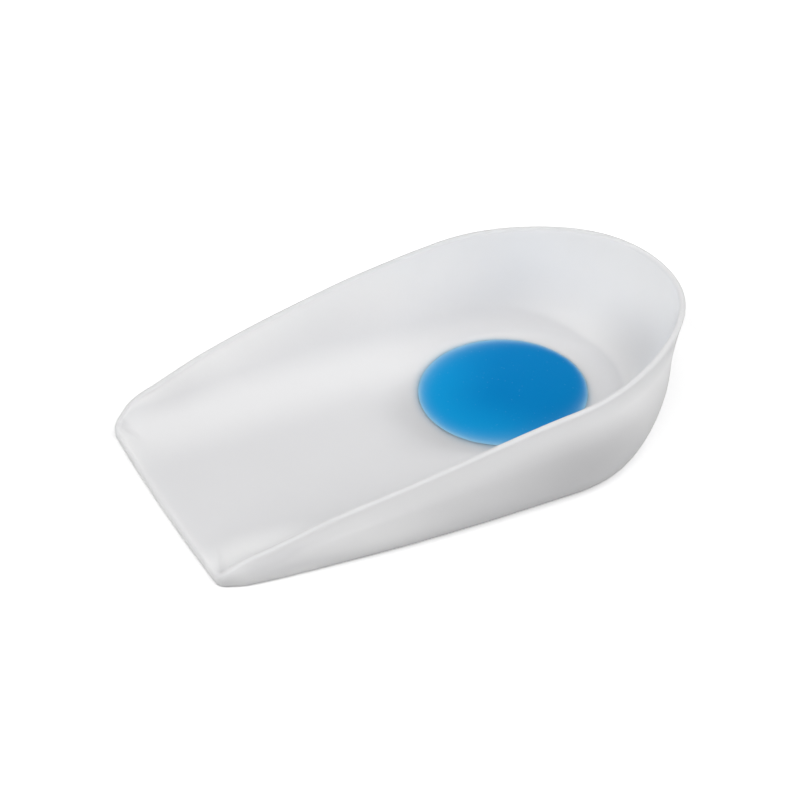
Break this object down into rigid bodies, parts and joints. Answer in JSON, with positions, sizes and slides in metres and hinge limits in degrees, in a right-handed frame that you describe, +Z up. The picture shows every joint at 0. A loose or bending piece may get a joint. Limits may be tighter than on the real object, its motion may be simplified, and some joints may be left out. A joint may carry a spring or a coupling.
{
  "type": "heel cup",
  "caption": "Soft gel heel cup with a walled heel, a low open toe edge and a softer oval spot set flush in its floor.",
  "frame": {"origin": "centre of the bounding box, on the flat base", "axes": "+Z up, +Y from the open toe edge towards the back of the heel, +X across the cup, which is symmetric in X"},
  "size_m": [0.0664, 0.11, 0.0228],
  "materials": {
    "milky_gel": "satin, milky and translucent",
    "blue_gel": "satin, softly glowing blue"
  },
  "bodies": {
    "root": {"cup_body": "milky_gel", "soft_spot": "blue_gel"}
  },
  "joints": []
}
